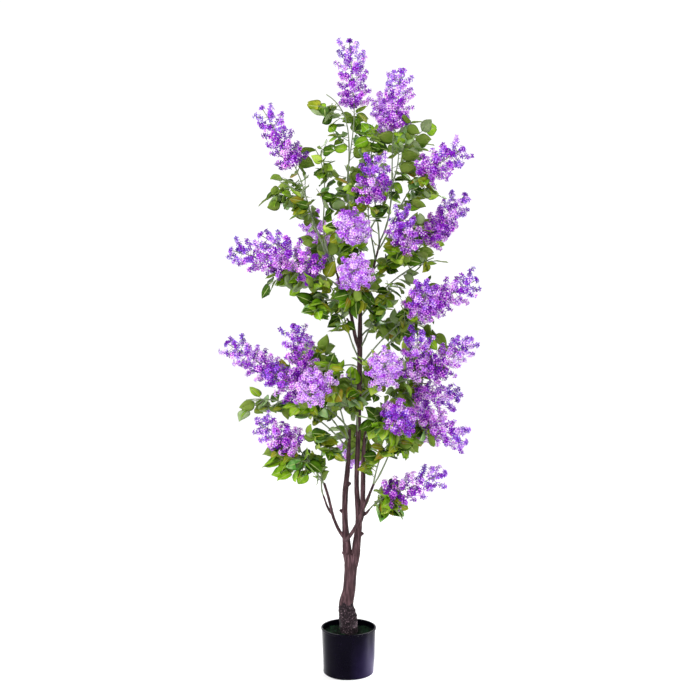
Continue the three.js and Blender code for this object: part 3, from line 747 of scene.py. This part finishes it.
def moss_bed():
    """The filling with its lumpy top, as one closed solid."""
    low = POT["floor"] + 0.5
    outer = bore_at(SOIL) - 0.3
    shares = np.linspace(1, 0, MOSS_BED["rings"])[:-1]
    profile = [(0, low), (bore_at(low) - 0.4, low), (outer, SOIL - 3)]
    profile += [(outer * share, SOIL) for share in shares]
    profile += [(0, SOIL)]
    points, faces = lathe(profile, MOSS_BED["turns"])
    top = points[:, 2] > SOIL - 1
    points[top, 2] = [moss_height(x, y) for x, y, _ in points[top]]
    return make_mesh("moss_bed", points, faces, 0, [MOSS[0]])


def moss_blades():
    """Short curved blades all over the bed, greener in patches."""
    rand = Stream(SEED["first"])
    parts = []
    reach = bore_at(SOIL) - 3
    for _ in range(MOSS_BED["blades"]):
        far = reach * math.sqrt(rand())
        turn = 2 * math.pi * rand()
        x, y = far * math.cos(turn), far * math.sin(turn)
        if math.hypot(x - TRUNK_WAY[0][0], y) < TRUNK_RADII[0] - 3:
            continue
        root = np.array((x, y, moss_height(x, y) - 0.5))
        side = flat_way(2 * math.pi * rand())
        across = np.array((-side[1], side[0], 0)) * MOSS_BED["bladeWide"]
        size = MOSS_BED["blade"] * mix(0.5, 1.15, rand())
        middle = root + (UP * 0.6 + side * 0.25) * size
        tip = root + (UP * 0.85 + side * mix(0.4, 0.9, rand())) * size
        patch = noise.noise(Vector((x / MOSS_BED["greenPatch"], y / MOSS_BED["greenPatch"], 5.5)))
        green = patch + 0.5 * rand() - 0.25 > 0.02
        blade = np.array([root - across, root + across, middle + across * 0.8, middle - across * 0.8, tip])
        parts.append((blade, np.array([(0, 1, 2), (0, 2, 3), (3, 2, 4)]), int(green)))
    points, faces, paints = gather(parts)
    return make_mesh("moss_blades", points, faces, paints, MOSS)


# -------- leaves

LEAF_ROWS = (0.09, 0.2, 0.33, 0.46, 0.6, 0.74, 0.88)
LEAF_ACROSS = (-1, -0.5, -0.06, 0.06, 0.5, 1)
LEAF_RIB = 2  # the strip that is the midrib
STALK_RADII = [0.75, 0.65, 0.6, 0.3]


def leaf_template():
    """A leaf's points as (share along, across, side) and its faces; side 1 is the underside."""
    marks = [(0, 0, 0)] + [(row, across, 0) for row in LEAF_ROWS for across in LEAF_ACROSS] + [(1, 0, 0)]
    tops = len(marks)
    marks += [(row, across, 1) for row in LEAF_ROWS for across in LEAF_ACROSS[1:-1]]
    wide = len(LEAF_ACROSS)

    def at(row, column, under):
        if row < 0:
            return 0
        if row == len(LEAF_ROWS):
            return tops - 1
        if under and 0 < column < wide - 1:
            return tops + row * (wide - 2) + column - 1
        return 1 + row * wide + column

    faces, sides, ribs = [], [], []
    for under in (0, 1):
        for row in range(-1, len(LEAF_ROWS)):
            for column in range(wide - 1):
                a, b = at(row, column, under), at(row, column + 1, under)
                c, d = at(row + 1, column + 1, under), at(row + 1, column, under)
                for face in ((a, b, c), (a, c, d)):
                    if len(set(face)) == 3:
                        faces.append(face[::-1] if under else face)
                        sides.append(under)
                        ribs.append(column == LEAF_RIB and not under)
    return np.array(marks, float), np.array(faces), np.array(sides), np.array(ribs)


LEAF_MARKS, LEAF_FACES, LEAF_SIDES, LEAF_RIBS = leaf_template()


def half_width(share):
    """A lilac leaf's half width: broad and round low down, drawn out to a point."""
    share = np.clip(share, 0, 1)
    return 2.9 * share**0.6 * (1 - share) ** 1.05


class Leaf:
    """A leaf's place: its root, which way it points, which way it faces, and its length."""

    def __init__(self, root, along, face, length):
        self.root = root
        self.along = along
        self.side = unit(np.cross(along, face))
        self.up = np.cross(self.side, along)
        self.length = length

    def at(self, share, across, high):
        return self.root + (self.along * share + self.side * across + self.up * high) * self.length

    def corners(self):
        wide, fold = LEAF["wide"] / 2, LEAF["fold"]
        return [self.root, self.at(1, 0, -LEAF["droop"]), self.at(LEAF["widest"], -wide, fold),
                self.at(LEAF["widest"], wide, fold)]


def grow_leaf(root, twig, angle, last, length, rand):
    """It leaves its twig sideways, or runs on from its end, hangs a little, and faces out and up."""
    along = twig if last else sideways(twig, angle) * LEAF["sideways"] + twig * LEAF["forwards"]
    along = unit(along - UP * LEAF["hang"])
    face = unit(root * (1, 1, 0)) * LEAF["faceOut"] + UP * LEAF["faceUp"]
    face = face + any_way(rand) * LEAF["faceAnyWay"]
    return Leaf(root, along, face, length)


def leaf_parts(leaf, paint, rand):
    """The blade with its fold, veins, waves and two sides, and the thin stalk."""
    share, across, under = LEAF_MARKS.T
    start = LEAF["petiole"]
    width = half_width(share) * LEAF["wide"] / 2
    curl = mix(*BLADE["curl"], rand())
    wave = mix(*BLADE["wave"], rand())
    phase = rand() * 6
    twist = mix(*BLADE["twist"], rand())
    high = LEAF["fold"] * np.abs(across) * mix(*BLADE["crease"], rand())
    high = high - LEAF["droop"] * share**2 - curl * share * (1 - share)
    high = high + wave * np.sin(share * BLADE["waves"] + phase) * across**2
    high = high + BLADE["ribbing"] * np.cos(share * len(LEAF_ROWS) * math.pi) * (np.abs(across) == 0.5)
    high = high - BLADE["groove"] * (np.abs(across) < 0.1)
    high = high + np.tan(twist * share) * across * width
    high = high - under * LEAF["thick"] / leaf.length
    sway = mix(*BLADE["sway"], rand()) * share**2
    place = np.outer(mix(start, 1, share), leaf.along) + np.outer(across * width + sway, leaf.side)
    points = leaf.root + leaf.length * (place + np.outer(high, leaf.up))
    stalk = [leaf.root, leaf.at(start * 0.6, 0, 0.012), leaf.at(start, 0, 0),
             leaf.at(mix(start, 1, 0.2), 0, -0.012)]
    stalk_points, stalk_faces = tube(stalk, STALK_RADII, 4)
    below = len(LEAF_TOPS) + (0 if rand() < LEAF["underGrey"] else 1)
    vein = len(LEAF_TOPS) + len(LEAF_UNDERS)
    paints = np.where(LEAF_RIBS, vein, np.where(LEAF_SIDES == 1, below, paint))
    return (points, LEAF_FACES, paints), (stalk_points, stalk_faces, 0)


# -------- growth


def grow_twig(spray, k, attempt):
    """One leafy twig: where it leaves the stem, which way, and the leaves on it."""
    rand = spray.stream(k * SEED["twig"] + attempt * SEED["attempt"])
    share = mix(TWIG["first"], TWIG["last"], (k + rand()) / TWIG["each"])
    tangent = spray.stem.tangent(share)
    out = sideways(tangent, spray.index + k * GOLDEN + attempt * TWIG["tryTurn"] + rand())
    along = unit(out * TWIG["sideways"] + tangent * TWIG["forwards"])
    start = spray.stem.at(share)
    length = min(mix(TWIG["long"], TWIG["short"], attempt / TWIG["tries"]), spray.span * TWIG["ofStem"])
    end = start + along * length
    if not room.fits(spray, [lerp(start, end, 0.3), end]):
        return start, end, []
    size = mix(LEAF["long"], LEAF["short"], attempt / TWIG["tries"])
    leaves = []
    for j in range(TWIG["perTwig"]):
        last = j == TWIG["perTwig"] - 1
        place = mix(TWIG["firstLeaf"], TWIG["lastLeaf"], j / (TWIG["perTwig"] - 2))
        root = lerp(start, end, 0.98 if last else place)
        turn = rand() + j * LEAF["turn"]
        leaf = grow_leaf(root, along, turn, last, size * mix(0.85, 1.1, rand()), rand)
        if room.fits(spray, leaf.corners()):
            leaves.append(leaf)
    return start, end, leaves


def grow_stem_leaf(spray, k):
    """One leaf straight on the stem, on the first side tried where it has room."""
    share = mix(LEAF["firstOnStem"], LEAF["lastOnStem"], k / LEAF["onStem"])
    tangent = spray.stem.tangent(share)
    for attempt in range(TWIG["tries"]):
        rand = spray.stream(SEED["stemLeaves"] + k * SEED["twig"] + attempt * SEED["attempt"])
        size = mix(LEAF["long"], LEAF["short"], attempt / TWIG["tries"])
        angle = spray.index + k * GOLDEN + attempt * TWIG["tryTurn"]
        leaf = grow_leaf(spray.stem.at(share), tangent, angle, False, size, rand)
        if room.fits(spray, leaf.corners()):
            return [leaf]
    return []


def grow_leaves(spray):
    """The spray's twigs and leaves, each twig the one of those tried that carries most."""
    leaves, twigs = [], []
    for k in range(LEAF["onStem"]):
        leaves += grow_stem_leaf(spray, k)
    for k in range(TWIG["each"]):
        tried = [grow_twig(spray, k, attempt) for attempt in range(TWIG["tries"])]
        best = max(tried, key=lambda twig: len(twig[2]))
        if best[2]:
            twigs.append(best[:2])
            leaves += best[2]
    return twigs, leaves


def twig_parts(twig):
    start, end = twig
    shares = np.linspace(0, 1, TWIG["steps"])
    along = shares[:, None]
    points = lerp(start, end, along) + sideways(unit(end - start), 1) * TWIG["bend"] * (along * (1 - along))
    return tube(points, mix(TWIG["radius"], TWIG["tipRadius"], shares), 5) + (0,)


def stem_parts(spray):
    """The wire from its limb to the panicle's foot, with small swollen nodes along it."""
    shares = np.linspace(0, 1, STEM["steps"])
    points = np.array([spray.stem.at(share) for share in shares])
    sizes = mix(STEM["rootRadius"], STEM["footRadius"], shares)
    sizes[4::STEM["nodeSteps"]] *= STEM["nodeSwell"]
    return tube(points, sizes, 7) + (0,)


# -------- blossom


# A petal's points as (along, across, up), 1 from middle to tip, and its faces with 1 on its outer part,
# which takes the floret's paler colour, partly painted highlight.
PETAL_POINTS = (
    (0.06, 0, 0), (0.46, -0.3, 0.06), (0.42, 0, -0.04), (0.46, 0.3, 0.06), (0.8, -0.25, 0.04),
    (0.8, 0.25, 0.04), (1, 0, -0.08),
)
PETAL_FACES = ((0, 1, 2), (0, 2, 3), (2, 1, 4), (2, 4, 6), (2, 6, 5), (2, 5, 3))
PETAL_OUTER = (0, 0, 1, 1, 1, 1)
THROAT = dict(sides=3, radius=0.12, taper=0.7, mouth=0.02, foot=-0.62)


def floret_template():
    """A floret that faces +Z: four pointed petals round a thin throat."""
    points, faces, outer = [], [], []
    for k in range(4):
        turn = k * math.pi / 2
        along = flat_way(turn)
        across = np.array((-along[1], along[0], 0))
        first = len(points)
        points += [along * far + across * wide + UP * high for far, wide, high in PETAL_POINTS]
        faces += [tuple(first + corner for corner in face) for face in PETAL_FACES]
        outer += PETAL_OUTER
    first = len(points)
    sides = THROAT["sides"]
    for k in range(sides):
        turn = k * 2 * math.pi / sides
        ring = flat_way(turn) * THROAT["radius"]
        points += [ring + UP * THROAT["mouth"], ring * THROAT["taper"] + UP * THROAT["foot"]]
    for k in range(sides):
        a, b = first + 2 * k, first + 2 * k + 1
        c, d = first + 2 * ((k + 1) % sides), first + 2 * ((k + 1) % sides) + 1
        faces += [(a, b, d), (a, d, c)]
        outer += [0, 0]
    return np.array(points), np.array(faces), np.array(outer)


FLORET_POINTS, FLORET_FACES, FLORET_OUTER = floret_template()


def stand(template, foot, facing, spin, size):
    """A template turned to face a way, spun round it, sized and put at a point."""
    first = sideways(facing, spin)
    second = np.cross(facing, first)
    return foot + size * (template @ np.stack([first, second, facing]))


def bloom_radius(share):
    return PANICLE["radius"] * (1 - PANICLE["taper"] * share**2)


def grow_panicle(spray, rand):
    """Arms that curve out and up from the axis, each with florets all round its outer part."""
    p = PANICLE
    bend = sideways(spray.aim, rand() * 2 * math.pi) * spray.length * p["bow"]
    straight = spray.aim * spray.length
    axis = [spray.foot + straight * s * p["axisShare"] + bend * s**2 for s in np.linspace(0, 1, 12)]
    arms, florets = [(axis, p["axisRadius"])], []
    axis_way = Way(axis[::3] + [axis[-1]])
    for k in range(p["arms"]):
        share = mix(p["first"], p["last"], (k / (p["arms"] - 1)) ** p["crowding"])
        tone = rand()
        start = axis_way.at(share)
        out = sideways(spray.aim, spray.index + k * GOLDEN + rand() * 0.4)
        rise = mix(p["lowRise"], p["highRise"], share)
        reach = bloom_radius(share) * mix(0.8, 1.02, rand()) - p["floret"] * 0.75
        end = start + unit(out + spray.aim * rise) * reach
        knee = start + out * reach * p["knee"]
        line = [start * (1 - t) ** 2 + knee * 2 * t * (1 - t) + end * t**2 for t in np.linspace(0, 1, 7)]
        arms.append((line, p["armRadius"]))
        arm = Way(line[::2])
        bare = mix(p["lowBare"], p["highBare"], share)
        count = max(3, int(reach * (1 - bare) / p["spacing"]))
        for j in range(count):
            t = mix(bare, 1, j / (count - 1))
            tangent = arm.tangent(t)
            side = sideways(tangent, k + j * GOLDEN)
            way = unit(side + tangent * mix(0.3, 0.8, t))
            spread = p["pedicel"] * mix(1.5, 0.8, max(share, t))
            foot = arm.at(t) + way * spread * mix(0.4, 1.25, rand())
            facing = unit(way + out * 0.4 + any_way(rand) * p["floretAnyWay"])
            florets.append((foot, facing, rand() * 6, p["floret"] * mix(0.85, 1.08, rand()), share, tone))
        tip = arm.tangent(1)
        florets.append((end + tip * 4, tip, rand() * 6, p["floret"] * 0.85, share, tone))
    for j in range(p["tipFlorets"]):
        way = unit(spray.aim + sideways(spray.aim, j * GOLDEN) * mix(0.1, 1.6, j / (p["tipFlorets"] - 1)))
        foot = axis[-1] + way * p["pedicel"] * mix(0.5, 1.5, rand())
        florets.append((foot, way, rand() * 6, p["floret"] * 0.9, 1, rand()))
    return arms, florets


# Two colours of a floret, round its throat and on the outer petals, each up to a share of all.
# The throat's is the darker or the same, partly the floret's own colour and partly painted shade;
# the outer petals' is the paler, partly their own colour and partly painted highlight.
PALE_FLORETS = (
    (0.2, "deep", "violet"), (0.42, "violet", "lilac"), (0.7, "lilac", "pale"), (1, "pink", "pale"),
)
FLORETS = (
    (0.32, "deep", "deep"), (0.43, "deep", "violet"), (0.51, "violet", "lilac"), (0.62, "deep", "pink"),
    (0.73, "violet", "pale"), (1, "pink", "pale"),
)
TIP_FLORETS = (
    (0.27, "deep", "blue"), (0.45, "deep", "deep"), (0.57, "blue", "violet"), (0.69, "blue", "lilac"),
    (1, "lilac", "pale"),
)


def floret_paint(spray, share, tone, rand):
    """Bluer towards a panicle's tip, pale all over on some sprays, and alike along an arm; darker round
    the throat and paler on the outer petals, partly own colour, partly painted shade and painted highlight.
    """
    marks = FLORETS if share < mix(0.45, 0.75, rand()) else TIP_FLORETS
    if spray.name in PALE_SPRAYS:
        marks = PALE_FLORETS
    pick = mix(rand(), tone, PANICLE["alike"])
    inner, outer = next((inner, outer) for limit, inner, outer in marks if pick < limit)
    # Throat and inner petals take the darker colour, partly painted shade; the outer petals take the paler,
    # partly painted highlight.
    return np.where(FLORET_OUTER == 1, PETAL_NAMES.index(outer), PETAL_NAMES.index(inner))


# -------- the tree


def crown():
    wires, blades, blossom = [], [], []
    for spray in sorted(sprays, key=lambda spray: -spray.foot[2]):
        rand = spray.stream(SEED["bloom"])
        wires.append(stem_parts(spray))
        twigs, leaves = grow_leaves(spray)
        wires += [twig_parts(twig) for twig in twigs]
        for leaf in leaves:
            blade, stalk = leaf_parts(leaf, leaf_paint(rand), rand)
            blades.append(blade)
            wires.append(stalk)
        if spray.length:
            arms, florets = grow_panicle(spray, rand)
            for line, size in arms:
                wires.append(tube(line, np.full(len(line), size), PANICLE["wireSides"]) + (0,))
            for foot, facing, spin, size, share, tone in florets:
                points = stand(FLORET_POINTS, foot, facing, spin, size)
                blossom.append((points, FLORET_FACES, floret_paint(spray, share, tone, rand)))
    return wires, blades, blossom


def leaf_paint(rand):
    """One of the colours of a leaf's top, each up to its own share of all leaves."""
    pick = rand()
    return next(paint for paint, limit in enumerate(LEAF_SHARES) if pick < limit)


def add_crown():
    """The crown's pieces: each kind of thing apart, from the top down in shares of one size."""
    wires, blades, blossom = crown()
    nodes = [spray.name for spray in sprays]
    flowering = [spray.name for spray in sprays if spray.length]
    greens = LEAF_TOPS + LEAF_UNDERS + [LEAF_VEIN]
    kinds = (
        ("wire_stems", ("",), wires, [WIRE], "leafy_spray", nodes),
        ("leaves", ("_upper", "_lower"), blades, greens, "leafy_spray", nodes),
        ("blossom", ("_upper", "_middle", "_lower"), blossom, PETALS, "blossom_spray", flowering),
    )
    for name, shares, parts, materials, slot, replaced in kinds:
        size = math.ceil(len(parts) / len(shares))
        for k, share in enumerate(shares):
            points, faces, paints = gather(parts[k * size:(k + 1) * size])
            hold(make_mesh(name + share, points, faces, paints, materials), slot, *replaced)


def add_foot():
    hold(pot(), "pot", "pot")
    hold(moss_bed(), "filling", "filling")
    hold(moss_blades(), "filling")
    hold(bark(), "bark", "trunk", *LIMBS)


# -------- camera, floor and light


def add_camera():
    camera = bpy.data.objects.new("camera", bpy.data.cameras.new("camera"))
    camera.location = (0.004, -3.0, 1.093)
    camera.rotation_euler = ((90 - 3.15) * RAD, 0, 0)
    camera.data.lens = 54.5
    camera.data.sensor_width = 36
    bpy.context.scene.collection.objects.link(camera)
    bpy.context.scene.camera = camera


def add_light(name, place, target, size, power, spread=180):
    light = bpy.data.lights.new(name, "AREA")
    light.spread = spread * RAD
    light.shape = "RECTANGLE"
    light.size, light.size_y = size
    light.energy = power
    obj = bpy.data.objects.new(name, light)
    obj.location = place
    obj.rotation_euler = (Vector(target) - Vector(place)).to_track_quat("-Z", "Y").to_euler()
    bpy.context.scene.collection.objects.link(obj)


def add_studio():
    size = 80
    corners = np.array([(-size, -size, 0), (size, -size, 0), (size, size, 0), (-size, size, 0)]) / MM
    faces = np.array([(0, 1, 2), (0, 2, 3)])
    material, _, shader = new_material("studio_floor", 0.9, 0.2)
    shader.inputs["Base Color"].default_value = (0.97, 0.97, 0.97, 1)
    floor = make_mesh("studio_floor", corners, faces, 0, [material])
    world = bpy.data.worlds.new("studio")
    world.use_nodes = True
    world.node_tree.nodes["Background"].inputs["Color"].default_value = (1, 1, 1, 1)
    world.node_tree.nodes["Background"].inputs["Strength"].default_value = 1.06
    bpy.context.scene.world = world
    middle = (0, 0, 1.0)
    add_light("key_light", (-2.2, -2.6, 2.6), middle, (1.6, 1.6), 55)
    add_light("right_strip", (1.1, -0.02, 0.05), (0, 0, 0.03), (0.1, 0.08), 2, 10)
    add_light("left_strip", (-0.9, 0.9, 0.05), (0, 0, 0.03), (0.1, 0.08), 0.8, 10)
    add_light("back_light", (0.8, 2.2, 2.2), middle, (1.6, 1.2), 40)
    bpy.context.scene.view_settings.view_transform = "Standard"


add_camera()
add_foot()
add_crown()
add_studio()
